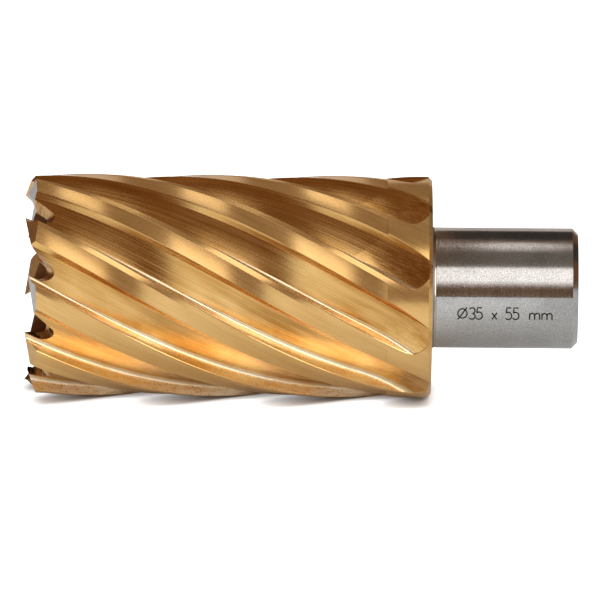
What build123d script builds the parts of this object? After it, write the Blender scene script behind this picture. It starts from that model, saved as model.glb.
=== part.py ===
from build123d import *
import math
import os

# Annular cutter with a flatted round shank, all one piece of tool steel.
# It stands on its teeth at z = 0 with the shank up, and its axis is the Z axis. Millimetres.
# The cutter turns clockwise seen from the shank, so "ahead" is clockwise and "behind" is anticlockwise.

# Body
body_diameter = 35.0
body_length = 64.25
shoulder_chamfer = 0.6
tooth_count = 10
helix_lead = 194.4
first_edge_azimuth = -92.5

# Slug bore
wall_thickness = 3.4
bore_depth = 57.9
bore_corner_bevel = 1.5

# Flutes, as angles behind the cutting edge of the tooth in front and depths under the body surface
margin_angle = 3.0
land_angle = 11.8
heel_bevel_angle = 15.0
heel_bevel_depth = 1.2
flute_depth = 2.05
rake_hook_angle = 0.5
flute_corner_radius = 0.75
flute_corner_facets = 2
margin_step = 0.04
land_relief_depth = 0.28
land_relief_length = 57.15

# Run-out of the flutes, where the grinding wheel leaves the body
runout_radius = 25.0
runout_clearance = 0.5
runout_span = 16.0
heel_exit_setback = 0.1
middle_exit_setback = 1.2
edge_exit_setback = 3.1

# Tooth points
tip_lead_angle = 4.0
clearance_angle = 9.0
clearance_ahead = 1.2
clearance_behind = 7.5
tall_tip_inset = 2.1
tall_inner_slope = 0.7
tall_outer_slope = 0.83
short_tip_inset = 2.9
short_inner_slope = 0.2
short_outer_slope = 0.31
short_setback = 0.42
short_corner_break = 0.3

# Gullets between the teeth
gullet_depth = 3.6
gullet_floor_radius = 1.4
gullet_front_angle = 34.5
gullet_back_angle = 55.7
gullet_floor_slope = 37.0
gullet_lean = 17.0

# Shank
shank_diameter = 19.05
shank_length = 23.15
shank_root_bevel = 0.45
shank_end_chamfer = 0.9
flat_depth = 1.3
flat_length = 10.0
flat_centre_from_shoulder = 12.4
flat_azimuths = (60.0, 150.0)

# Hole for the pilot pin
pilot_hole_diameter = 6.5
pilot_hole_chamfer = 0.5

# How far cutting solids run past the surface that they open, and the spare metal left below the teeth
overrun = 1.5
end_allowance = 0.6

# Sections that carry a form along the helix
helix_sections = 5
runout_sections = 7

body_radius = body_diameter / 2
shank_radius = shank_diameter / 2
pilot_hole_radius = pilot_hole_diameter / 2
bore_radius = body_radius - wall_thickness
overall_length = body_length + shank_length
pitch_angle = 360 / tooth_count
tall_tip_radius = body_radius - tall_tip_inset
short_tip_radius = body_radius - short_tip_inset
helix_angle = math.atan(2 * math.pi * body_radius / helix_lead)


def polar(radius, azimuth, z=0.0):
    """Point at a radius, an azimuth in degrees and a height."""
    turn = math.radians(azimuth)
    return Vector(radius * math.cos(turn), radius * math.sin(turn), z)


def helix_turn(z):
    """Degrees that the helix has turned at a height, measured from the tooth tips."""
    return 360 * z / helix_lead


def every_tooth(shape, offset=0.0, step=1):
    """Copies of a shape made for azimuth 0, one for each tooth, or for every second tooth."""
    return [
        Rot(0, 0, first_edge_azimuth + offset + index * pitch_angle) * shape
        for index in range(0, tooth_count, step)
    ]


# The blank

def turned_blank():
    """Body and shank turned as one piece, with the slug bore and the hole for the pilot pin."""
    with BuildPart() as blank:
        with BuildSketch(Plane.XZ):
            with BuildLine():
                Polyline(
                    (0, -end_allowance),
                    (body_radius, -end_allowance),
                    (body_radius, body_length - shoulder_chamfer),
                    (body_radius - shoulder_chamfer, body_length),
                    (shank_radius + shank_root_bevel, body_length),
                    (shank_radius, body_length + shank_root_bevel),
                    (shank_radius, overall_length - shank_end_chamfer),
                    (shank_radius - shank_end_chamfer, overall_length),
                    (0, overall_length),
                    (0, -end_allowance),
                )
            make_face()
        revolve(axis=Axis.Z)
    return blank.part


def slug_bore():
    """Round bore that swallows the slug, with a bevelled corner at its blind end."""
    bore = Pos(0, 0, -2 * overrun) * Cylinder(
        bore_radius, bore_depth + 2 * overrun, align=(Align.CENTER, Align.CENTER, Align.MIN)
    )
    return chamfer(bore.edges().sort_by(Axis.Z)[-1], bore_corner_bevel)


def pilot_hole():
    """Through hole for the pilot pin, chamfered at the shank end."""
    hole = Cylinder(
        pilot_hole_radius, overall_length + overrun, align=(Align.CENTER, Align.CENTER, Align.MIN)
    )
    mouth = Pos(0, 0, overall_length - pilot_hole_chamfer) * Cone(
        pilot_hole_radius,
        pilot_hole_radius + 2 * pilot_hole_chamfer,
        2 * pilot_hole_chamfer,
        align=(Align.CENTER, Align.CENTER, Align.MIN),
    )
    return hole + mouth


def shank_flats():
    """Milled pockets that leave the two clamping flats on the shank."""
    pocket = Pos(shank_radius - flat_depth, 0, body_length + flat_centre_from_shoulder) * Box(
        shank_radius, 2 * shank_radius, flat_length, align=(Align.MIN, Align.CENTER, Align.CENTER)
    )
    return [Rot(0, 0, azimuth) * pocket for azimuth in flat_azimuths]


# The flutes

def flute_outline_points():
    """Heel, foot of the heel bevel and floor corner of the full flute, as radius and angle."""
    heel = (body_radius, land_angle)
    bevel_foot = (body_radius - heel_bevel_depth, heel_bevel_angle)
    corner = (body_radius - flute_depth, pitch_angle - rake_hook_angle)
    return heel, bevel_foot, corner


def wheel_rise(radius, exit_setback, z):
    """How far the wheel has lifted a point of the flute at a height on its way out of the body."""
    depth = max(body_radius - radius, 0.0)
    exit_z = body_length - exit_setback
    start_z = exit_z - math.sqrt(2 * runout_radius * depth) * math.cos(helix_angle)
    travel = max(z - start_z, 0.0) / math.cos(helix_angle)
    return travel**2 / (2 * runout_radius)


def flute_section(z):
    """Closed outline of what one flute removes at a height."""
    heel, bevel_foot, corner = flute_outline_points()
    turn = helix_turn(z)
    floor_start = polar(*bevel_foot)
    floor_end = polar(*corner)
    exit_setbacks = (heel_exit_setback, heel_exit_setback, middle_exit_setback, edge_exit_setback)
    floor = []
    shares = spread(0, 1, len(exit_setbacks))
    for share, exit_setback in zip(shares, exit_setbacks):
        point = floor_start + (floor_end - floor_start) * share
        radius = math.hypot(point.X, point.Y)
        azimuth = math.degrees(math.atan2(point.Y, point.X))
        floor.append(polar(radius + wheel_rise(radius, exit_setback, z), azimuth + turn, z))
    heel_top = polar(heel[0] + wheel_rise(bevel_foot[0], heel_exit_setback, z), heel[1] + turn, z)
    bevel_end = heel_top + (heel_top - floor[0]).normalized() * (2 * overrun)
    rake_end = polar(body_radius + 2 * overrun, pitch_angle + turn, z)
    corner_start = floor[3] + (floor[2] - floor[3]).normalized() * flute_corner_radius
    corner_stop = floor[3] + (rake_end - floor[3]).normalized() * flute_corner_radius
    corner_curve = Edge.make_bezier(corner_start, floor[3], corner_stop)
    corner_points = [corner_curve @ share for share in spread(0, 1, flute_corner_facets + 1)]
    outline = floor[:3] + corner_points + [rake_end, bevel_end]
    return Face(Wire.make_polygon(outline, close=True))


def flute_cutter():
    """What the wheel removes along one flute, from below the teeth to where it leaves the body."""
    top = body_length + runout_clearance
    runout_start = top - runout_span
    sections = [flute_section(z) for z in spread(-overrun, runout_start, helix_sections)]
    sections += [flute_section(z) for z in spread(runout_start, top, runout_sections)[1:]]
    return loft(sections)


def spread(start, stop, count):
    """Evenly spaced values from start to stop."""
    return [start + (stop - start) * index / (count - 1) for index in range(count)]


def relief_cutter():
    """What relieves one land behind its margin, as a flat that falls away towards the heel."""
    margin_corner = polar(body_radius - margin_step, margin_angle)
    heel_corner = polar(body_radius - land_relief_depth, land_angle)
    past_heel = heel_corner + (heel_corner - margin_corner).normalized() * overrun
    outer = body_radius + overrun
    section = [margin_corner, past_heel, polar(outer, heel_bevel_angle), polar(outer, margin_angle)]
    sections = []
    for z in spread(-2 * overrun, land_relief_length, helix_sections):
        face = Face(Wire.make_polygon(section, close=True))
        sections.append(Pos(0, 0, z) * Rot(0, 0, helix_turn(z)) * face)
    return loft(sections)


# The teeth

def gullet_cutter():
    """Slot with a round floor that opens the gap ahead of one tooth through the wall."""
    outward = Vector(1, math.tan(math.radians(gullet_lean)), math.tan(math.radians(gullet_floor_slope)))
    wheel_plane = Plane(origin=(tall_tip_radius, 0, 0), x_dir=(outward.Y, -1, 0), z_dir=outward)
    front = math.radians(gullet_front_angle)
    back = math.radians(gullet_back_angle)
    centre_depth = gullet_depth - gullet_floor_radius
    centre_ahead = (gullet_floor_radius - centre_depth * math.sin(front)) / math.cos(front)
    front_foot_depth = centre_depth - gullet_floor_radius * math.sin(front)
    front_foot = centre_ahead - gullet_floor_radius * math.cos(front)
    back_foot_depth = centre_depth + gullet_floor_radius * math.sin(back)
    back_foot = centre_ahead + gullet_floor_radius * math.cos(back)
    reach = 3 * overrun
    front_top = front_foot + (front_foot_depth + reach) * math.tan(front)
    back_top = back_foot + (back_foot_depth + reach) * math.tan(back)
    with BuildSketch() as profile:
        with BuildLine():
            Line((front_top, reach), (front_foot, -front_foot_depth))
            ThreePointArc(
                (front_foot, -front_foot_depth), (centre_ahead, -gullet_depth), (back_foot, -back_foot_depth)
            )
            Polyline((back_foot, -back_foot_depth), (back_top, reach), (front_top, reach))
        make_face()
    outer_reach = (body_radius + overrun - tall_tip_radius) * outward.length
    inner_reach = (tall_tip_radius - bore_radius + overrun) * outward.length
    slot = extrude(profile.sketch, amount=outer_reach)
    slot += extrude(profile.sketch, amount=-inner_reach)
    return Location(wheel_plane) * slot


def point_cutter(tip_radius, setback, inner_slope, outer_slope, corner_break):
    """What bevels the end of one tooth inside and outside its tip, falling away towards the heel."""
    inner = bore_radius - overrun
    outer = body_radius + overrun
    inner_z = setback + (tip_radius - inner) * inner_slope
    break_radius = body_radius - corner_break
    break_z = setback + (break_radius - tip_radius) * outer_slope
    outer_end_slope = 1.0 if corner_break else outer_slope
    outer_z = break_z + (outer - break_radius) * outer_end_slope
    floor_z = -3 * overrun
    outline = [
        (inner, floor_z),
        (inner, inner_z),
        (tip_radius, setback),
        (break_radius, break_z),
        (outer, outer_z),
        (outer, floor_z),
    ]
    falling = math.tan(math.radians(clearance_angle))
    corners = [(radius, -clearance_ahead, z - clearance_ahead * falling) for radius, z in outline]
    profile = Face(Wire.make_polygon(corners, close=True))
    span = Vector(0, 1, falling) * (clearance_ahead + clearance_behind)
    return extrude(profile, amount=span.length, dir=span)


def annular_cutter():
    """The whole cutter."""
    tall = point_cutter(tall_tip_radius, 0.0, tall_inner_slope, tall_outer_slope, 0.0)
    short = point_cutter(
        short_tip_radius, short_setback, short_inner_slope, short_outer_slope, short_corner_break
    )
    body = turned_blank() - slug_bore() - pilot_hole() - shank_flats()
    body -= every_tooth(flute_cutter())
    body -= every_tooth(relief_cutter())
    body -= every_tooth(gullet_cutter(), offset=-tip_lead_angle)
    body -= every_tooth(short, offset=-tip_lead_angle, step=2)
    body -= every_tooth(tall, offset=pitch_angle - tip_lead_angle, step=2)
    return body


os.makedirs("parts", exist_ok=True)
cutter = annular_cutter()
export_step(cutter, "parts/annular_cutter.step")
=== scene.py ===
import math
import bmesh
import bpy
from mathutils import Matrix, Vector


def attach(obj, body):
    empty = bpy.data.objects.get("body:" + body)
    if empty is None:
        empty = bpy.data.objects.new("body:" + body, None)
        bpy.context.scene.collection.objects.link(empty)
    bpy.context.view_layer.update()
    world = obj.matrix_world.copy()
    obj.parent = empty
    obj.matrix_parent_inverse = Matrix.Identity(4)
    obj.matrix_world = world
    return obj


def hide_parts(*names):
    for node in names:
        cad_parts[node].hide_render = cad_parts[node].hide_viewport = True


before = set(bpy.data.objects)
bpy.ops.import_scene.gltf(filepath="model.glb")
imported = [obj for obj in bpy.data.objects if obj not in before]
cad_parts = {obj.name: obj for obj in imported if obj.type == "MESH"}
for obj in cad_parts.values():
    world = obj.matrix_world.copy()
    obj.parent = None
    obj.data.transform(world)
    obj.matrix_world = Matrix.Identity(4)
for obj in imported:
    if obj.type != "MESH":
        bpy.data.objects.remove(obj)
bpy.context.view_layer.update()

# Annular cutter: its ground and coated surface, the size marked on it, and the studio that it is shown in

MM = 0.001

# Sizes in millimetres and degrees, the same as the solid's
BODY_RADIUS = 17.5
BODY_LENGTH = 64.25
SHOULDER_CHAMFER = 0.6
TOOTH_COUNT = 10
HELIX_LEAD = 194.4
FIRST_EDGE_AZIMUTH = -92.5
BORE_RADIUS = 14.1
BORE_DEPTH = 57.9
BORE_CORNER_BEVEL = 1.5
MARGIN_ANGLE = 3.0
LAND_ANGLE = 11.8
HEEL_BEVEL_ANGLE = 15.0
HEEL_BEVEL_DEPTH = 1.2
FLUTE_DEPTH = 2.05
RAKE_HOOK_ANGLE = 0.5
FLUTE_CORNER_RADIUS = 0.75
MARGIN_STEP = 0.04
LAND_RELIEF_DEPTH = 0.28
LAND_RELIEF_LENGTH = 57.15
RUNOUT_RADIUS = 25.0
HEEL_EXIT_SETBACK = 0.1
MIDDLE_EXIT_SETBACK = 1.2
EDGE_EXIT_SETBACK = 3.1
TALL_TIP_RADIUS = 15.4
SHORT_TIP_RADIUS = 14.6
TIP_LEAD_ANGLE = 4.0
CLEARANCE_ANGLE = 9.0
TALL_INNER_SLOPE = 0.7
TALL_OUTER_SLOPE = 0.83
SHORT_INNER_SLOPE = 0.2
SHORT_OUTER_SLOPE = 0.31
SHORT_SETBACK = 0.42
SHORT_CORNER_BREAK = 0.3
GULLET_DEPTH = 3.6
GULLET_FLOOR_RADIUS = 1.4
GULLET_FRONT_ANGLE = 34.5
GULLET_BACK_ANGLE = 55.7
GULLET_FLOOR_SLOPE = 37.0
GULLET_LEAN = 17.0
SHANK_RADIUS = 9.525
SHANK_LENGTH = 23.15
SHANK_ROOT_BEVEL = 0.45
SHANK_END_CHAMFER = 0.9
FLAT_DEPTH = 1.3
FLAT_LENGTH = 10.0
FLAT_CENTRE = 12.4
FLAT_AZIMUTHS = (60.0, 150.0)
PILOT_RADIUS = 3.25
PILOT_CHAMFER = 0.5

# Finer forms that only this mesh has: the break along the edges, and the hollow at the shank's root
EDGE_BREAK = 0.08
SHANK_ROOT_HOLLOW = 0.13
ROOT_GROOVE_DEPTH = 0.05
ROOT_GROOVE_WIDTH = 0.3

# Heights of the slanting line where the wheel lifts off a flute's floor, at the land and at the cutting edge
RUNOUT_LINE = (56.8, 51.0)

PITCH_ANGLE = 360 / TOOTH_COUNT
TOTAL_LENGTH = BODY_LENGTH + SHANK_LENGTH
HELIX_ANGLE = math.atan(2 * math.pi * BODY_RADIUS / HELIX_LEAD)
TIP_AZIMUTHS = [FIRST_EDGE_AZIMUTH - TIP_LEAD_ANGLE + tooth * PITCH_ANGLE for tooth in range(TOOTH_COUNT)]

# How far the blank reaches past the teeth, a flute's curve past the body, and each cut past the steel
END_ALLOWANCE = 0.6
CURVE_ALLOWANCE = 3.0
CUT_ALLOWANCE = 1.5
CUT_BELOW_TEETH = 4.5
CUT_AHEAD_OF_TIP = 1.2
CUT_BEHIND_TIP = 7.5
FLAT_CUT_HALF_WIDTH = 10.0
FLAT_CUT_RADIUS = 14.0

# Width of the steps where a surface changes at once: behind the margin in degrees, and above the relief
MARGIN_STEP_ANGLE = 0.05
RELIEF_STEP_LENGTH = 0.02

# Points along the parts of a flute's curve: heel, floor, corner and rake face
CURVE_POINTS = (25, 33, 13, 25)
GULLET_FLOOR_POINTS = 25

# Steps across the parts of one tooth's outline
MARGIN_STEPS = 4
LAND_STEPS = 8
LEAD_STEPS = 4
FLUTE_STEPS = (4, 18, 8, 5)

# Rings up the straight flutes, their run-outs, the full round past the relief, the chamfer, and down the bore
RUNOUT_START = 48.0
STRAIGHT_RINGS = 45
RUNOUT_RINGS = 25
PAST_RELIEF_RINGS = 24
CHAMFER_RINGS = 13
BORE_RINGS = 30

# Order of the finishes on the piece, and which one each part of the outline has
LAND, FLOOR, RAKE, STEEL, BORE, ROOT = range(6)
OUTLINE_ZONES = [LAND] * (MARGIN_STEPS + LAND_STEPS + 2)
OUTLINE_ZONES += [FLOOR] * (FLUTE_STEPS[0] + FLUTE_STEPS[1])
OUTLINE_ZONES += [RAKE] * (FLUTE_STEPS[2] + FLUTE_STEPS[3])
OUTLINE_ZONES += [LAND] * LEAD_STEPS

# An edge turned by more than this stays sharp
SHARP_ANGLE = 24


def spread(start, stop, count):
    return [start + (stop - start) * index / (count - 1) for index in range(count)]


def polar(radius, azimuth):
    turn = math.radians(azimuth)
    return Vector((radius * math.cos(turn), radius * math.sin(turn)))


def azimuth_of(point):
    return math.degrees(math.atan2(point.y, point.x))


def helix_turn(z):
    return 360 * z / HELIX_LEAD


def placed(name, data):
    """New object in the scene."""
    item = bpy.data.objects.new(name, data)
    bpy.context.scene.collection.objects.link(item)
    return item


# One flute in section, seen in the frame that turns with the helix

def wheel_rise(radius, exit_setback, z):
    """How far the grinding wheel has lifted a point of the flute on its way out of the body."""
    depth = max(BODY_RADIUS - radius, 0.0)
    start_z = BODY_LENGTH - exit_setback - math.sqrt(2 * RUNOUT_RADIUS * depth) * math.cos(HELIX_ANGLE)
    travel = max(z - start_z, 0.0) / math.cos(HELIX_ANGLE)
    return travel**2 / (2 * RUNOUT_RADIUS)


def bezier(points, share):
    if len(points) == 1:
        return points[0]
    nearer = [a.lerp(b, share) for a, b in zip(points, points[1:])]
    return bezier(nearer, share)


def floor_points(z):
    """Four points across the flute's floor, from its heel to the foot of its rake face."""
    start = polar(BODY_RADIUS - HEEL_BEVEL_DEPTH, HEEL_BEVEL_ANGLE)
    end = polar(BODY_RADIUS - FLUTE_DEPTH, PITCH_ANGLE - RAKE_HOOK_ANGLE)
    setbacks = (HEEL_EXIT_SETBACK, HEEL_EXIT_SETBACK, MIDDLE_EXIT_SETBACK, EDGE_EXIT_SETBACK)
    points = []
    for index, setback in enumerate(setbacks):
        point = start.lerp(end, index / 3)
        points.append(polar(point.length + wheel_rise(point.length, setback, z), azimuth_of(point)))
    return points


def flute_curve(z):
    """Points along the flute from outside its heel to outside its cutting edge, and where its parts begin."""
    floor = floor_points(z)
    heel_rise = wheel_rise(BODY_RADIUS - HEEL_BEVEL_DEPTH, HEEL_EXIT_SETBACK, z)
    heel_top = polar(BODY_RADIUS + heel_rise, LAND_ANGLE)
    heel_out = heel_top + (heel_top - floor[0]).normalized() * CURVE_ALLOWANCE
    rake_out = polar(BODY_RADIUS + CURVE_ALLOWANCE, PITCH_ANGLE)
    corner_start = floor[3] + (floor[2] - floor[3]).normalized() * FLUTE_CORNER_RADIUS
    corner_stop = floor[3] + (rake_out - floor[3]).normalized() * FLUTE_CORNER_RADIUS
    # Pulls of the cubic that passes through the heel, both middle points and the corner's start
    first_pull = (floor[0] * -5 + floor[1] * 18 - floor[2] * 9 + corner_start * 2) / 6
    second_pull = (floor[0] * 2 - floor[1] * 9 + floor[2] * 18 - corner_start * 5) / 6
    parts = (
        [heel_out, floor[0]],
        [floor[0], first_pull, second_pull, corner_start],
        [corner_start, floor[3], corner_stop],
        [corner_stop, rake_out],
    )
    curve = [heel_out]
    marks = [0]
    for pulls, count in zip(parts, CURVE_POINTS):
        curve += [bezier(pulls, share) for share in spread(0, 1, count)[1:]]
        marks.append(len(curve) - 1)
    return curve, marks


def along(curve, place):
    index = min(int(place), len(curve) - 2)
    return curve[index].lerp(curve[index + 1], place - index)


def crossing(curve, surface, order):
    """Place along the curve, searched in the given order, where it first goes inside the surface."""
    for index in order:
        inside = surface(azimuth_of(curve[index])) - EDGE_BREAK - curve[index].length
        if inside > 0:
            before = index - order.step
            outside = curve[before].length - surface(azimuth_of(curve[before])) + EDGE_BREAK
            return before + (index - before) * outside / (outside + inside)
    return None


# The cutter before its teeth are ground

def outer_radius(z):
    return BODY_RADIUS - max(z - (BODY_LENGTH - SHOULDER_CHAMFER), 0.0)


def land_radius(z, angle):
    """Distance from the axis to the flat behind the margin, or to the full round past the relief."""
    if z > LAND_RELIEF_LENGTH:
        return outer_radius(z)
    first = polar(BODY_RADIUS - MARGIN_STEP, MARGIN_ANGLE)
    last = polar(BODY_RADIUS - LAND_RELIEF_DEPTH, LAND_ANGLE)
    return first.cross(last) / polar(1, angle).cross(last - first)


def flute_outline(z, top):
    """Radius and angle of the points across the flute inside the body, or none where it has run out."""
    curve, marks = flute_curve(z)
    start = crossing(curve, lambda angle: land_radius(z, angle), range(1, len(curve)))
    stop = crossing(curve, lambda angle: top, range(len(curve) - 2, -1, -1))
    if start is None or stop is None or start >= stop:
        return []
    outline = []
    for first, last, steps in zip(marks, marks[1:], FLUTE_STEPS):
        first = min(max(first, start), stop)
        last = min(max(last, start), stop)
        places = spread(first, last, steps + 1)
        points = [along(curve, place) for place in places[(1 if outline else 0):]]
        outline += [(point.length, azimuth_of(point)) for point in points]
    return outline


def tooth_outline(z, flute_angles):
    """Radius and angle of the points across one tooth and its flute at a height.

    flute_angles keeps the last flute's angles, for the full rings above it.
    """
    top = outer_radius(z)
    flute = flute_outline(z, top)
    if flute:
        flute_angles[:] = [angle for radius, angle in flute]
    else:
        flute = [(top, angle) for angle in flute_angles]
    break_angle = math.degrees(EDGE_BREAK / BODY_RADIUS)
    land_start = MARGIN_ANGLE + MARGIN_STEP_ANGLE
    land_stop = flute[0][1] - break_angle
    lead_start = min(flute[-1][1] + break_angle, PITCH_ANGLE + break_angle)
    outline = [(top, angle) for angle in spread(break_angle, MARGIN_ANGLE, MARGIN_STEPS + 1)]
    outline += [(land_radius(z, angle), angle) for angle in spread(land_start, land_stop, LAND_STEPS + 1)]
    outline += flute
    outline += [(top, angle) for angle in spread(lead_start, PITCH_ANGLE + break_angle, LEAD_STEPS)[:-1]]
    return outline


def body_ring(z, flute_angles):
    outline = tooth_outline(z, flute_angles)
    ring = []
    for tooth in range(TOOTH_COUNT):
        base = FIRST_EDGE_AZIMUTH + tooth * PITCH_ANGLE + helix_turn(z)
        ring += [(radius, base + angle, z) for radius, angle in outline]
    return ring


def plain_ring(radius, z, azimuths, turn=0.0):
    return [(radius, azimuth + turn, z) for azimuth in azimuths]


def body_heights():
    """Heights of the rings up the body, closer together where the flutes run out."""
    chamfer_start = BODY_LENGTH - SHOULDER_CHAMFER
    straight = spread(-END_ALLOWANCE, RUNOUT_START, STRAIGHT_RINGS)
    runout = spread(RUNOUT_START, LAND_RELIEF_LENGTH, RUNOUT_RINGS)[1:]
    past_relief = spread(LAND_RELIEF_LENGTH + RELIEF_STEP_LENGTH, chamfer_start, PAST_RELIEF_RINGS)
    chamfer = spread(chamfer_start, BODY_LENGTH, CHAMFER_RINGS)[1:]
    return straight + runout + past_relief + chamfer


def shank_outline():
    """Radius and height of the corners up the shank, over its end and down the pilot hole."""
    root_top = BODY_LENGTH + SHANK_ROOT_BEVEL
    return [
        (SHANK_RADIUS + SHANK_ROOT_BEVEL, BODY_LENGTH),
        (SHANK_RADIUS + SHANK_ROOT_HOLLOW, BODY_LENGTH + SHANK_ROOT_HOLLOW),
        (SHANK_RADIUS, root_top),
        (SHANK_RADIUS - ROOT_GROOVE_DEPTH, root_top + ROOT_GROOVE_WIDTH / 2),
        (SHANK_RADIUS, root_top + ROOT_GROOVE_WIDTH),
        (SHANK_RADIUS, TOTAL_LENGTH - SHANK_END_CHAMFER),
        (SHANK_RADIUS - SHANK_END_CHAMFER, TOTAL_LENGTH),
        (PILOT_RADIUS + PILOT_CHAMFER, TOTAL_LENGTH),
        (PILOT_RADIUS, TOTAL_LENGTH - PILOT_CHAMFER),
        (PILOT_RADIUS, BORE_DEPTH),
    ]


def bore_outline():
    """Radius and height of the corners down the slug bore, out past its mouth."""
    walls = [(BORE_RADIUS, z) for z in spread(BORE_DEPTH - BORE_CORNER_BEVEL, -END_ALLOWANCE, BORE_RINGS)]
    return [(BORE_RADIUS - BORE_CORNER_BEVEL, BORE_DEPTH)] + walls


def blank_rings():
    """Rings up the body and shank and down the hole and bore, and the finishes of the faces after each."""
    flute_angles = [0.0] * (sum(FLUTE_STEPS) + 1)
    rings = [body_ring(z, flute_angles) for z in body_heights()]
    zones = [OUTLINE_ZONES * TOOTH_COUNT for ring in rings[1:]]
    lower = [azimuth for radius, azimuth, z in rings[0]]
    upper = [azimuth for radius, azimuth, z in rings[-1]]
    shank = shank_outline()
    bore = bore_outline()
    rings += [plain_ring(radius, z, upper) for radius, z in shank]
    rings += [plain_ring(radius, z, lower, helix_turn(z + END_ALLOWANCE)) for radius, z in bore]
    zones += [[LAND] * len(upper)]
    zones += [[ROOT] * len(upper) for corner in shank[1:3]]
    zones += [[STEEL] * len(upper) for corner in shank[3:]]
    zones += [[BORE] * len(lower) for corner in bore]
    zones += [[LAND] * len(lower)]
    return rings, zones


def blank_mesh():
    """Closed surface of the cutter before its teeth are ground."""
    rings, zones = blank_rings()
    bm = bmesh.new()
    grid = []
    for ring in rings:
        row = []
        for radius, azimuth, z in ring:
            flat = polar(radius * MM, azimuth)
            row.append(bm.verts.new((flat.x, flat.y, z * MM)))
        grid.append(row)
    count = len(grid[0])
    for low, high, row_zones in zip(grid, grid[1:] + grid[:1], zones):
        for index in range(count):
            following = (index + 1) % count
            face = bm.faces.new((low[index], low[following], high[following], high[index]))
            face.material_index = row_zones[index]
    bmesh.ops.remove_doubles(bm, verts=bm.verts, dist=1e-7)
    bmesh.ops.dissolve_degenerate(bm, edges=bm.edges, dist=1e-8)
    bmesh.ops.recalc_face_normals(bm, faces=bm.faces)
    return finished_mesh(bm, "annular_cutter_visual")


def finished_mesh(bm, name):
    mesh = bpy.data.meshes.new(name)
    bm.to_mesh(mesh)
    bm.free()
    return mesh


# What the wheels grind off the teeth and the shank

def prism(first, last):
    """Faces of a prism between two outlines with as many points each."""
    count = len(first)
    points = first + last
    faces = [tuple(reversed(range(count))), tuple(range(count, 2 * count))]
    faces += [(i, (i + 1) % count, count + (i + 1) % count, count + i) for i in range(count)]
    return points, faces


def joined(name, parts, finish):
    """One temporary object of several prisms, each turned about the axis, with the finish it leaves."""
    bm = bmesh.new()
    for (points, faces), azimuth in parts:
        turn = Matrix.Rotation(math.radians(azimuth), 3, "Z")
        verts = [bm.verts.new(turn @ (point * MM)) for point in points]
        for face in faces:
            bm.faces.new([verts[index] for index in face])
    bmesh.ops.triangulate(bm, faces=[face for face in bm.faces if len(face.verts) > 4])
    bmesh.ops.recalc_face_normals(bm, faces=bm.faces)
    tool = placed(name, finished_mesh(bm, name))
    tool.data.materials.append(finish)
    return tool


def gullet_outline():
    """Slot in section, as distances ahead of the tip and into the wall: two sides and a round floor."""
    front = math.radians(GULLET_FRONT_ANGLE)
    back = math.radians(GULLET_BACK_ANGLE)
    radius = GULLET_FLOOR_RADIUS
    centre_depth = GULLET_DEPTH - radius
    centre = (radius - centre_depth * math.sin(front)) / math.cos(front)

    def on_floor(angle):
        return centre + radius * math.cos(angle), centre_depth + radius * math.sin(angle)

    floor = [on_floor(angle) for angle in spread(math.pi + front, back, GULLET_FLOOR_POINTS)]
    front_foot = (centre - radius * math.cos(front), centre_depth - radius * math.sin(front))
    back_foot = (centre + radius * math.cos(back), centre_depth + radius * math.sin(back))
    front_top = front_foot[0] + (front_foot[1] + CUT_BELOW_TEETH) * math.tan(front)
    back_top = back_foot[0] + (back_foot[1] + CUT_BELOW_TEETH) * math.tan(back)
    return [(front_top, -CUT_BELOW_TEETH)] + floor + [(back_top, -CUT_BELOW_TEETH)]


def gullet():
    """Slot through the wall ahead of a tooth, leaning and sloping up outwards."""
    outline = gullet_outline()
    lean = math.tan(math.radians(GULLET_LEAN))
    outward = Vector((1, lean, math.tan(math.radians(GULLET_FLOOR_SLOPE))))
    ahead_axis = Vector((lean, -1, 0)).normalized()
    inward_axis = ahead_axis.cross(outward).normalized()
    origin = Vector((TALL_TIP_RADIUS, 0, 0))
    inner = TALL_TIP_RADIUS - BORE_RADIUS + CUT_ALLOWANCE
    outer = BODY_RADIUS - TALL_TIP_RADIUS + CUT_ALLOWANCE

    def at(distance):
        base = origin + outward * distance
        return [base + ahead_axis * ahead + inward_axis * depth for ahead, depth in outline]

    return prism(at(-inner), at(outer))


def point_grind(tip_radius, setback, inner_slope, outer_slope, corner_break):
    """What bevels the end of a tooth on both sides of its tip, falling away towards the heel."""
    inner = BORE_RADIUS - CUT_ALLOWANCE
    outer = BODY_RADIUS + CUT_ALLOWANCE
    break_radius = BODY_RADIUS - corner_break
    break_z = setback + (break_radius - tip_radius) * outer_slope
    end_slope = 1.0 if corner_break else outer_slope
    outline = [
        (inner, -CUT_BELOW_TEETH),
        (inner, setback + (tip_radius - inner) * inner_slope),
        (tip_radius, setback),
        (break_radius, break_z),
        (outer, break_z + (outer - break_radius) * end_slope),
        (outer, -CUT_BELOW_TEETH),
    ]
    falling = math.tan(math.radians(CLEARANCE_ANGLE))

    def at(behind):
        return [Vector((radius, behind, z + behind * falling)) for radius, z in outline]

    return prism(at(-CUT_AHEAD_OF_TIP), at(CUT_BEHIND_TIP))


def short_point_grind():
    slopes = (SHORT_INNER_SLOPE, SHORT_OUTER_SLOPE)
    return point_grind(SHORT_TIP_RADIUS, SHORT_SETBACK, *slopes, SHORT_CORNER_BREAK)


def tall_point_grind():
    return point_grind(TALL_TIP_RADIUS, 0.0, TALL_INNER_SLOPE, TALL_OUTER_SLOPE, 0.0)


def flat_pocket():
    """What grinds one clamping flat on the shank."""
    low = BODY_LENGTH + FLAT_CENTRE - FLAT_LENGTH / 2
    high = BODY_LENGTH + FLAT_CENTRE + FLAT_LENGTH / 2
    half = FLAT_CUT_HALF_WIDTH
    corners = [(-half, low), (half, low), (half, high), (-half, high)]

    def at(radius):
        return [Vector((radius, side, z)) for side, z in corners]

    return prism(at(SHANK_RADIUS - FLAT_DEPTH), at(FLAT_CUT_RADIUS))


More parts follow.
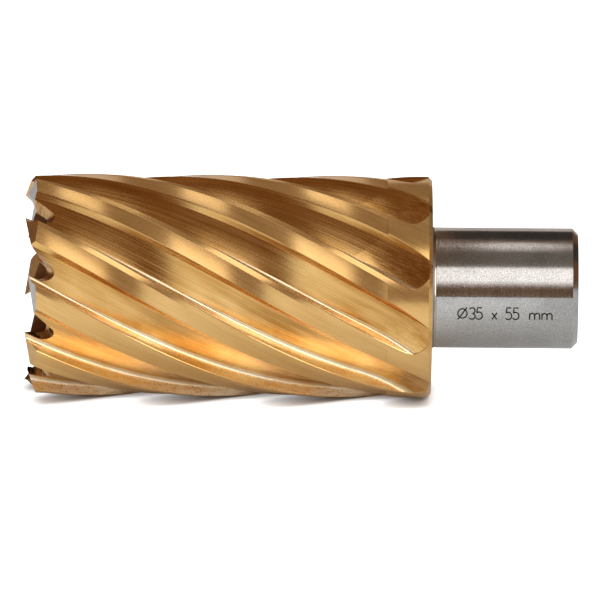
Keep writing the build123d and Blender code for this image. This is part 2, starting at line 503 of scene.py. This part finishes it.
def grind(piece, tool):
    cut = piece.modifiers.new(tool.name, "BOOLEAN")
    cut.operation = "DIFFERENCE"
    cut.solver = "MANIFOLD"
    cut.material_mode = "TRANSFER"
    cut.object = tool
    with bpy.context.temp_override(object=piece, active_object=piece, selected_objects=[piece]):
        bpy.ops.object.modifier_apply(modifier=cut.name)
    bpy.data.objects.remove(tool)


# Finishes, in coordinates that turn with the helix so that grinding marks follow the flutes

# What the values of a noise mostly stay between
NOISE_RANGE = (0.3, 0.7)

# Share of the ridges' lean that a flute's floor loses past its run-out line
LEAN_LOST = 0.3


class Tree:
    """A material's nodes, made and linked by short calls."""

    def __init__(self, name):
        self.material = bpy.data.materials.new(name)
        self.material.use_nodes = True
        self.nodes = self.material.node_tree.nodes
        self.links = self.material.node_tree.links
        self.shader = self.nodes["Principled BSDF"]
        self.output = self.nodes["Material Output"]

    def set(self, socket, value):
        if isinstance(value, bpy.types.NodeSocket):
            self.links.new(value, socket)
        else:
            socket.default_value = value

    def add(self, kind, inputs, output=0, **settings):
        made = self.nodes.new("ShaderNode" + kind)
        for key, value in settings.items():
            setattr(made, key, value)
        for key, value in inputs.items():
            self.set(made.inputs[key], value)
        return made.outputs[output]

    def maths(self, operation, first, second=0.0):
        return self.add("Math", {0: first, 1: second}, operation=operation)

    def vector(self, operation, first, second=(0, 0, 0)):
        return self.add("VectorMath", {0: first, 1: second}, operation=operation)

    def parts(self, vector):
        """A vector's x, y and z."""
        made = self.nodes.new("ShaderNodeSeparateXYZ")
        self.links.new(vector, made.inputs[0])
        return made.outputs

    def ramp(self, value, low, high, start=0.0, stop=1.0):
        inputs = {"Value": value, "From Min": start, "From Max": stop, "To Min": low, "To Max": high}
        return self.add("MapRange", inputs)

    def mix(self, share, first, second):
        """Between two colours, whose sockets are the mix node's inputs 6 and 7 and output 2."""
        return self.add("Mix", {0: share, 6: first, 7: second}, output=2, data_type="RGBA")

    def noise(self, place, scale, detail=2.0):
        return self.add("TexNoise", {"Vector": place, "Scale": scale, "Detail": detail})

    def blended(self, first, share, second):
        """Two patterns added, the first one's share and the second one's rest."""
        rest = self.maths("MULTIPLY", second, 1 - share)
        return self.maths("ADD", self.maths("MULTIPLY", first, share), rest)

    def toned(self, pattern, reach, deep, pale):
        """From deep to pale as the pattern goes from that far under its middle to that far over it."""
        return self.mix(self.ramp(pattern, 0.0, 1.0, 0.5 - reach, 0.5 + reach), deep, pale)

    def uneven(self, pattern, low, high):
        return self.ramp(pattern, low, high, *NOISE_RANGE)

    def drawn_out(self, place, stretch):
        """Place for a pattern drawn out along the axis."""
        return self.add("Mapping", {"Vector": place, "Scale": (1, 1, stretch)})

    def place(self):
        return self.add("TexCoord", {}, output="Object")

    def unwound(self):
        """Position on the cutter with the helix taken out."""
        place = self.place()
        turn = self.maths("MULTIPLY", self.parts(place)["Z"], -2 * math.pi / (HELIX_LEAD * MM))
        return self.add("VectorRotate", {"Vector": place, "Angle": turn}, rotation_type="Z_AXIS")

    def before_runout(self):
        """1 on the straight part of a flute's floor, less past the slanting line where the wheel lifts."""
        x, y, z = self.parts(self.unwound())
        azimuth = self.maths("MULTIPLY", self.maths("ARCTAN2", y, x), 180 / math.pi)
        past_first_edge = self.maths("SUBTRACT", azimuth, FIRST_EDGE_AZIMUTH)
        past_edge = self.maths("FLOORED_MODULO", past_first_edge, PITCH_ANGLE)
        line = self.ramp(past_edge, *RUNOUT_LINE, LAND_ANGLE, PITCH_ANGLE)
        lifted = self.maths("GREATER_THAN", z, self.maths("MULTIPLY", line, MM))
        return self.maths("SUBTRACT", 1.0, self.maths("MULTIPLY", lifted, LEAN_LOST))

    def leaned(self, normal, lean):
        """Normal of ground ridges that all lean the same way, square to the helix."""
        push = math.tan(math.radians(lean))
        level = math.cos(HELIX_ANGLE) * push
        around = self.vector("NORMALIZE", self.vector("CROSS_PRODUCT", (0, 0, 1), self.place()))
        around = self.vector("MULTIPLY", around, (level, level, level))
        across = self.vector("SUBTRACT", around, (0, 0, math.sin(HELIX_ANGLE) * push))
        across = self.add("VectorMath", {0: across, "Scale": self.before_runout()}, operation="SCALE")
        return self.vector("NORMALIZE", self.vector("ADD", normal, across))

    def finish(self, colour, roughness, height, depth, lean=0.0, metal=1.0):
        """The material, with bumps of a depth in millimetres."""
        normal = self.add("Bump", {"Height": height, "Distance": depth * MM, "Strength": 1.0})
        if lean:
            normal = self.leaned(normal, lean)
        self.set(self.shader.inputs["Base Color"], colour)
        self.set(self.shader.inputs["Roughness"], roughness)
        self.set(self.shader.inputs["Metallic"], metal)
        self.set(self.shader.inputs["Normal"], normal)
        return self.material


def nitride(name, pale, deep, rough, streaks, grain, depth, lean=0.0, metal=1.0):
    """Coating over ground steel: streaks along the helix, uneven tone and a fine grain.

    streaks holds their scale and how far they are drawn out, grain its scale and its share of the bumps.
    """
    tree = Tree(name)
    streak_scale, stretch = streaks
    grain_scale, grain_share = grain
    unwound = tree.unwound()
    lines = tree.noise(tree.drawn_out(unwound, stretch), streak_scale, 3)
    specks = tree.noise(unwound, grain_scale)
    patches = tree.noise(tree.drawn_out(unwound, 0.4), 260)
    colour = tree.toned(tree.blended(patches, 0.6, lines), 0.14, deep, pale)
    surface = tree.blended(specks, grain_share, lines)
    roughness = tree.uneven(surface, rough * 0.75, rough * 1.25)
    return tree.finish(colour, roughness, surface, depth, lean, metal)


def gold_land():
    pale = (0.9, 0.58, 0.23, 1)
    deep = (0.76, 0.45, 0.15, 1)
    return nitride("gold_land", pale, deep, 0.21, (2600, 0.04), (5200, 0.6), 0.003, metal=0.78)


def gold_flute():
    # Painted shade: tone that varies at random but reaches deeper and more orange than the lands' gold, for
    # the light lost inside the flutes
    pale = (0.97, 0.64, 0.25, 1)
    deep = (0.6, 0.31, 0.08, 1)
    return nitride("gold_flute", pale, deep, 0.25, (3400, 0.012), (6000, 0.15), 0.009, lean=8)


def gold_rake():
    # Painted highlight: paler, creamier gold than the lands', so that the lamps' line along the flute's
    # corner and rake face comes out near white
    pale = (1.0, 0.87, 0.64, 1)
    deep = (0.86, 0.57, 0.26, 1)
    return nitride("gold_rake", pale, deep, 0.3, (2200, 0.3), (4600, 0.6), 0.008)


def bore_brown():
    pale = (0.34, 0.15, 0.06, 1)
    deep = (0.18, 0.08, 0.035, 1)
    return nitride("bore_brown", pale, deep, 0.45, (1500, 0.3), (4000, 0.5), 0.01)


def ground_end(name, pale, deep, rough, line_scale):
    """Faces ground by a wheel, with fine lines across them."""
    tree = Tree(name)
    x, y, z = tree.parts(tree.place())
    around = tree.maths("MULTIPLY", tree.maths("ARCTAN2", y, x), BODY_RADIUS * MM)
    lines = tree.noise(tree.add("CombineXYZ", {"X": around, "Y": z}), line_scale, 3)
    patches = tree.noise(tree.place(), 500)
    colour = tree.toned(tree.blended(lines, 0.6, patches), 0.15, deep, pale)
    roughness = tree.uneven(lines, rough * 0.8, rough * 1.2)
    return tree.finish(colour, roughness, lines, 0.012)


def gullet_gold():
    return ground_end("gullet_gold", (0.72, 0.47, 0.22, 1), (0.3, 0.14, 0.05, 1), 0.3, 3500)


def tall_tip_gold():
    return ground_end("tall_tip_gold", (0.8, 0.53, 0.25, 1), (0.6, 0.35, 0.14, 1), 0.42, 4500)


def short_tip_steel():
    return ground_end("short_tip_steel", (0.56, 0.54, 0.52, 1), (0.44, 0.42, 0.4, 1), 0.4, 4500)


def root_steel():
    # Painted shade: steel darker than the shank's own, for the bevel in the crease at the shank's root
    return ground_end("root_steel", (0.36, 0.35, 0.34, 1), (0.22, 0.21, 0.2, 1), 0.45, 4500)


def ground_steel():
    """Bare shank: fine rings left by cylindrical grinding."""
    tree = Tree("ground_steel")
    x, y, z = tree.parts(tree.place())
    away = tree.maths("SQRT", tree.maths("ADD", tree.maths("MULTIPLY", x, x), tree.maths("MULTIPLY", y, y)))
    around = tree.maths("MULTIPLY", tree.maths("ARCTAN2", y, x), 0.0004)
    rings = tree.noise(tree.add("CombineXYZ", {"X": away, "Y": around, "Z": z}), 9000)
    patches = tree.noise(tree.place(), 180, 3)
    speckle = tree.noise(tree.place(), 5600)
    tone = tree.blended(speckle, 0.7, patches)
    colour = tree.toned(tone, 0.15, (0.38, 0.374, 0.362, 1), (0.66, 0.654, 0.64, 1))
    roughness = tree.uneven(rings, 0.13, 0.2)
    return tree.finish(colour, roughness, tree.blended(rings, 0.2, speckle), 0.003)


def etched_mark():
    """Dark mark left by a laser."""
    tree = Tree("laser_mark")
    grain = tree.noise(tree.place(), 5000)
    colour = tree.toned(grain, 0.2, (0.025, 0.02, 0.016, 1), (0.06, 0.05, 0.042, 1))
    roughness = tree.uneven(grain, 0.5, 0.7)
    return tree.finish(colour, roughness, grain, 0.002)


def annular_cutter():
    """The whole cutter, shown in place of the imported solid."""
    piece = placed("annular_cutter_visual", blank_mesh())
    steel = ground_steel()
    for finish in (gold_land(), gold_flute(), gold_rake(), steel, bore_brown(), root_steel()):
        piece.data.materials.append(finish)
    for name, form, azimuths, finish in (
        ("gullets", gullet(), TIP_AZIMUTHS, gullet_gold()),
        ("short_points", short_point_grind(), TIP_AZIMUTHS[0::2], short_tip_steel()),
        ("tall_points", tall_point_grind(), TIP_AZIMUTHS[1::2], tall_tip_gold()),
        ("flats", flat_pocket(), FLAT_AZIMUTHS, steel),
    ):
        grind(piece, joined(name, [(form, azimuth) for azimuth in azimuths], finish))
    piece.data.shade_smooth()
    piece.data.set_sharp_from_angle(angle=math.radians(SHARP_ANGLE))
    weighted = piece.modifiers.new("weighted", "WEIGHTED_NORMAL")
    weighted.keep_sharp = True
    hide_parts("annular_cutter")
    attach(piece, "root")


# Size marked on the shank, as strokes of figures laid round it

# In millimetres, but for the azimuth of the figures' feet in degrees
MARK_START = 68.25
MARK_AZIMUTH = -58.5
MARK_LIFT = 0.012
FIGURE_HEIGHT = 2.02
STROKE_WIDTH = 0.22
STROKE_STEP = 0.3

# The figures and how far along the mark each one starts
FIGURES = (
    ("diameter", 0.0),
    ("3", 1.86),
    ("5", 3.0),
    ("x", 5.5),
    ("5", 7.64),
    ("5", 8.78),
    ("m", 11.45),
    ("m", 13.4),
)


def arc(centre, radii, start, stop, count=15):
    points = []
    for angle in spread(math.radians(start), math.radians(stop), count):
        points.append((centre[0] + radii[0] * math.cos(angle), centre[1] + radii[1] * math.sin(angle)))
    return points


def figure_strokes(figure):
    """Strokes of one figure, in units of its height."""
    if figure == "diameter":
        return [arc((0.41, 0.5), (0.36, 0.4), 0, 360, 33), [(0.06, -0.02), (0.76, 1.02)]]
    if figure == "3":
        upper = arc((0.24, 0.74), (0.23, 0.25), 150, -90)
        lower = arc((0.24, 0.26), (0.25, 0.26), 90, -150)
        return [upper + lower[1:]]
    if figure == "5":
        bowl = arc((0.22, 0.32), (0.26, 0.32), 125, -145)
        return [[(0.45, 1.0), (0.09, 1.0), (0.05, 0.56)] + bowl]
    if figure == "x":
        return [[(0.0, 0.0), (0.38, 0.58)], [(0.0, 0.58), (0.38, 0.0)]]
    if figure == "m":
        first = [(0.0, 0.0), (0.0, 0.56)]
        hump = arc((0.2, 0.36), (0.19, 0.2), 180, 0, 11) + [(0.39, 0.0)]
        last = arc((0.59, 0.36), (0.19, 0.2), 180, 0, 11) + [(0.78, 0.0)]
        return [first, hump, last]
    raise ValueError(figure)


def in_steps(corners):
    """Points along a stroke, close enough together to follow the round shank."""
    points = []
    for first, second in zip(corners, corners[1:]):
        steps = max(int(math.dist(first, second) / STROKE_STEP), 1)
        points += [Vector(first).lerp(Vector(second), step / steps) for step in range(steps)]
    return points + [Vector(corners[-1])]


def on_shank(run, rise):
    """Point just off the shank, that far along it and that far up the figures."""
    flat = polar((SHANK_RADIUS + MARK_LIFT) * MM, MARK_AZIMUTH - math.degrees(rise / SHANK_RADIUS))
    return flat.x, flat.y, run * MM


def ribbon(bm, corners):
    """Flat band along a stroke, wrapped on the shank."""
    stroke = in_steps(corners)
    rows = []
    for index, point in enumerate(stroke):
        before = stroke[max(index - 1, 0)]
        after = stroke[min(index + 1, len(stroke) - 1)]
        side = (after - before).normalized().orthogonal() * STROKE_WIDTH / 2
        rows.append([bm.verts.new(on_shank(*(point + offset))) for offset in (-side, side)])
    for low, high in zip(rows, rows[1:]):
        bm.faces.new((low[0], low[1], high[1], high[0]))


def size_mark():
    """Diameter by depth of cut in millimetres."""
    bm = bmesh.new()
    for figure, start in FIGURES:
        for stroke in figure_strokes(figure):
            ribbon(bm, [(MARK_START + start + x * FIGURE_HEIGHT, y * FIGURE_HEIGHT) for x, y in stroke])
    mark = placed("size_mark", finished_mesh(bm, "size_mark"))
    mark.data.materials.append(etched_mark())
    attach(mark, "root")


# Camera nearly square to the cutter's axis, a few metres away, with the teeth on the left of the picture

CAMERA_AIM = (0.00216, 0, 0.04354)
CAMERA_DISTANCE = 3.6
CAMERA_SWING = 0.68
CAMERA_TILT = 0.48
CAMERA_LENS = 1366
CAMERA_SENSOR = 36


def camera():
    data = bpy.data.cameras.new("camera")
    data.sensor_width = CAMERA_SENSOR
    data.lens = CAMERA_LENS
    tilt = math.radians(CAMERA_TILT)
    swing = math.radians(CAMERA_SWING)
    back = Vector((0, -math.cos(swing), -math.sin(swing)))
    level = Vector((0, -math.sin(swing), math.cos(swing)))
    right = level * math.cos(tilt) + Vector((-1, 0, 0)) * math.sin(tilt)
    place = Matrix((right, back.cross(right), back)).transposed().to_4x4()
    place.translation = Vector(CAMERA_AIM) + back * CAMERA_DISTANCE
    eye = placed("camera", data)
    eye.matrix_world = place
    bpy.context.scene.camera = eye


# Studio: softboxes beside and above the cutter, two cards over the shank, a white sheet with a painted shadow
# and a dim room

WHITE = (1, 1, 1)
ROOM_LIGHT = (0.175, 0.088, 0.042)
ROOM_GREY = (0.25, 0.25, 0.25)

# The sheet's slope in degrees and its size in metres
SHEET_TILT = 15.0
SHEET_LENGTH = 2.4
SHEET_REACH = 1.2

# The sheet's glow to the camera and in the metal, each with how far from the cutter its painted shadow
# reaches and how deeply it darkens
SEEN_GLOW = 1.45
SEEN_PAINTED_SHADOW = (0.0026, 1.6)
MIRRORED_GLOW = 0.55
MIRRORED_PAINTED_SHADOW = (0.05, 2.0)

# Painted shade in the metal's reflection: heights between which the mirrored glow falls off under the shank,
# and what is left of it there
PAINTED_SHADE_HEIGHTS = (0.074, 0.09)
PAINTED_SHADE_LEFT = 0.4

# The cards over the shank, in metres
CARD_HEIGHTS = (0.068, 0.3)
CARD_DISTANCE = 0.12


def direction(angle):
    """Square to the cutter's axis: 0 towards the camera, 90 up the picture."""
    turn = math.radians(angle)
    return Vector((-math.sin(turn), -math.cos(turn), 0))


def quad(name, corners, finish):
    mesh = bpy.data.meshes.new(name)
    mesh.from_pydata(corners, [], [(0, 1, 2, 3)])
    mesh.materials.append(finish)
    return placed(name, mesh)


def softbox(name, angles, heights, distance, radiance, shape="RECTANGLE"):
    """Flat light seen from the cutter between two angles in degrees and two heights in metres."""
    data = bpy.data.lights.new(name, "AREA")
    data.shape = shape
    data.size = 2 * distance * math.tan(math.radians(angles[1] - angles[0]) / 2)
    data.size_y = heights[1] - heights[0]
    data.energy = radiance * math.pi * data.size * data.size_y
    back = direction(sum(angles) / 2)
    along_axis = Vector((0, 0, 1))
    place = Matrix((along_axis.cross(back), along_axis, back)).transposed().to_4x4()
    place.translation = back * distance + along_axis * sum(heights) / 2
    item = placed(name, data)
    item.matrix_world = place
    item.visible_camera = False
    return item


def lights():
    """Softboxes, each with its angles, heights, distance and radiance."""
    softbox("side_light", (5, 39), (-0.26, 2.0), 2.0, 1.55)
    softbox("body_light", (79, 104), (-0.26, 0.0), 2.0, 1.45)
    softbox("shank_light", (71, 96), (0.0738, 0.089), 0.15, 0.66, "ELLIPSE")
    softbox("right_light", (-30, 42), (1.35, 2.3), 2.0, 2.4)
    softbox("backdrop_light", (140, 164), (-0.8, 0.8), 2.0, 0.45)
    fill = softbox("fill_light", (30, 110), (-1.0, 1.2), 1.6, 0.3)
    fill.visible_glossy = False


def card_cloth(name, deep, pale):
    tree = Tree(name)
    weave = tree.noise(tree.place(), 300)
    tree.set(tree.shader.inputs["Base Color"], tree.mix(weave, deep, pale))
    tree.set(tree.shader.inputs["Roughness"], 0.9)
    return tree.material


def card(name, angles, cloth):
    """Card that only shows in reflections, where it hides the room from the shank."""
    middle = direction(sum(angles) / 2) * CARD_DISTANCE
    half = Vector((0, 0, 1)).cross(middle) * math.tan(math.radians(angles[1] - angles[0]) / 2)
    low = middle + Vector((0, 0, CARD_HEIGHTS[0]))
    high = middle + Vector((0, 0, CARD_HEIGHTS[1]))
    item = quad(name, [low - half, low + half, high + half, high - half], cloth)
    item.visible_camera = False
    item.visible_diffuse = False
    item.visible_shadow = False


def cards():
    grey = card_cloth("grey_cloth", (0.34, 0.3, 0.25, 1), (0.46, 0.4, 0.33, 1))
    dark = card_cloth("dark_cloth", (0.05, 0.042, 0.034, 1), (0.09, 0.075, 0.06, 1))
    card("shank_flag_low", (38, 73), grey)
    card("shank_flag_high", (101, 138), dark)


def floor_paper():
    """White paper that the cutter shades, its glow dimmed near the cutter as a painted shadow, clear from
    behind.
    """
    tree = Tree("floor_paper")
    tree.nodes.remove(tree.shader)
    fibres = tree.noise(tree.place(), 900)
    white = tree.mix(fibres, (0.80, 0.80, 0.80, 1), (0.84, 0.84, 0.84, 1))

    def ray(kind):
        return tree.add("LightPath", {}, output=kind)

    # Painted shadow: ambient occlusion near the cutter dims the sheet's glow
    def outside_painted_shadow(reach, depth):
        open_share = tree.add("AmbientOcclusion", {"Distance": reach}, output="AO", samples=8)
        return tree.maths("POWER", open_share, depth)

    seen = tree.maths("MULTIPLY", outside_painted_shadow(*SEEN_PAINTED_SHADOW), ray("Is Camera Ray"))
    other_rays = tree.maths("MAXIMUM", ray("Is Glossy Ray"), ray("Is Transmission Ray"))
    # Painted shade in the metal's reflection: the glow that it mirrors dims near the cutter too
    mirrored = tree.maths("MULTIPLY", outside_painted_shadow(*MIRRORED_PAINTED_SHADOW), other_rays)
    height = tree.parts(tree.place())["Z"]
    # Painted shade: the mirrored glow fades by height under the shank's end
    mirrored = tree.maths("MULTIPLY", mirrored, tree.ramp(height, 1.0, PAINTED_SHADE_LEFT, *PAINTED_SHADE_HEIGHTS))
    seen = tree.maths("MULTIPLY", seen, SEEN_GLOW)
    glow = tree.maths("ADD", seen, tree.maths("MULTIPLY", mirrored, MIRRORED_GLOW))
    paper = tree.add("BsdfDiffuse", {"Color": white})
    shine = tree.add("Emission", {"Color": white, "Strength": glow})
    front = tree.add("AddShader", {0: paper, 1: shine})
    clear = tree.add("BsdfTransparent", {})
    behind = tree.add("NewGeometry", {}, output="Backfacing")
    tree.set(tree.output.inputs["Surface"], tree.add("MixShader", {0: behind, 1: front, 2: clear}))
    return tree.material


def floor():
    """Plain white sheet that the cutter lies on, sloping up away from the camera."""
    tilt = math.radians(SHEET_TILT)
    normal = Vector((-math.cos(tilt), -math.sin(tilt), 0))
    away = Vector((-math.sin(tilt), math.cos(tilt), 0)) * SHEET_REACH
    side = Vector((0, 0, SHEET_LENGTH / 2))
    middle = Vector((0, 0, TOTAL_LENGTH * MM / 2)) - normal * BODY_RADIUS * MM
    corners = [middle - away - side, middle - away + side, middle + away + side, middle + away - side]
    sheet = quad("floor", corners, floor_paper())
    if sheet.data.polygons[0].normal.dot(normal) < 0:
        sheet.data.flip_normals()


def room():
    """White behind the cutter, a dim warm room in the metal's reflections, plain grey as light."""
    world = bpy.data.worlds.new("room")
    world.use_nodes = True
    nodes = world.node_tree.nodes
    links = world.node_tree.links
    path = nodes.new("ShaderNodeLightPath")
    shades = (("Is Glossy Ray", ROOM_LIGHT), ("Is Transmission Ray", WHITE), ("Is Camera Ray", WHITE))
    colour = None
    for ray, shade in shades:
        mixed = nodes.new("ShaderNodeMix")
        mixed.data_type = "RGBA"
        mixed.inputs[6].default_value = (*ROOM_GREY, 1)
        mixed.inputs[7].default_value = (*shade, 1)
        if colour:
            links.new(colour, mixed.inputs[6])
        links.new(path.outputs[ray], mixed.inputs[0])
        colour = mixed.outputs[2]
    links.new(colour, nodes["Background"].inputs["Color"])
    bpy.context.scene.world = world


annular_cutter()
size_mark()
camera()
room()
floor()
lights()
cards()
bpy.context.scene.view_settings.view_transform = "Standard"
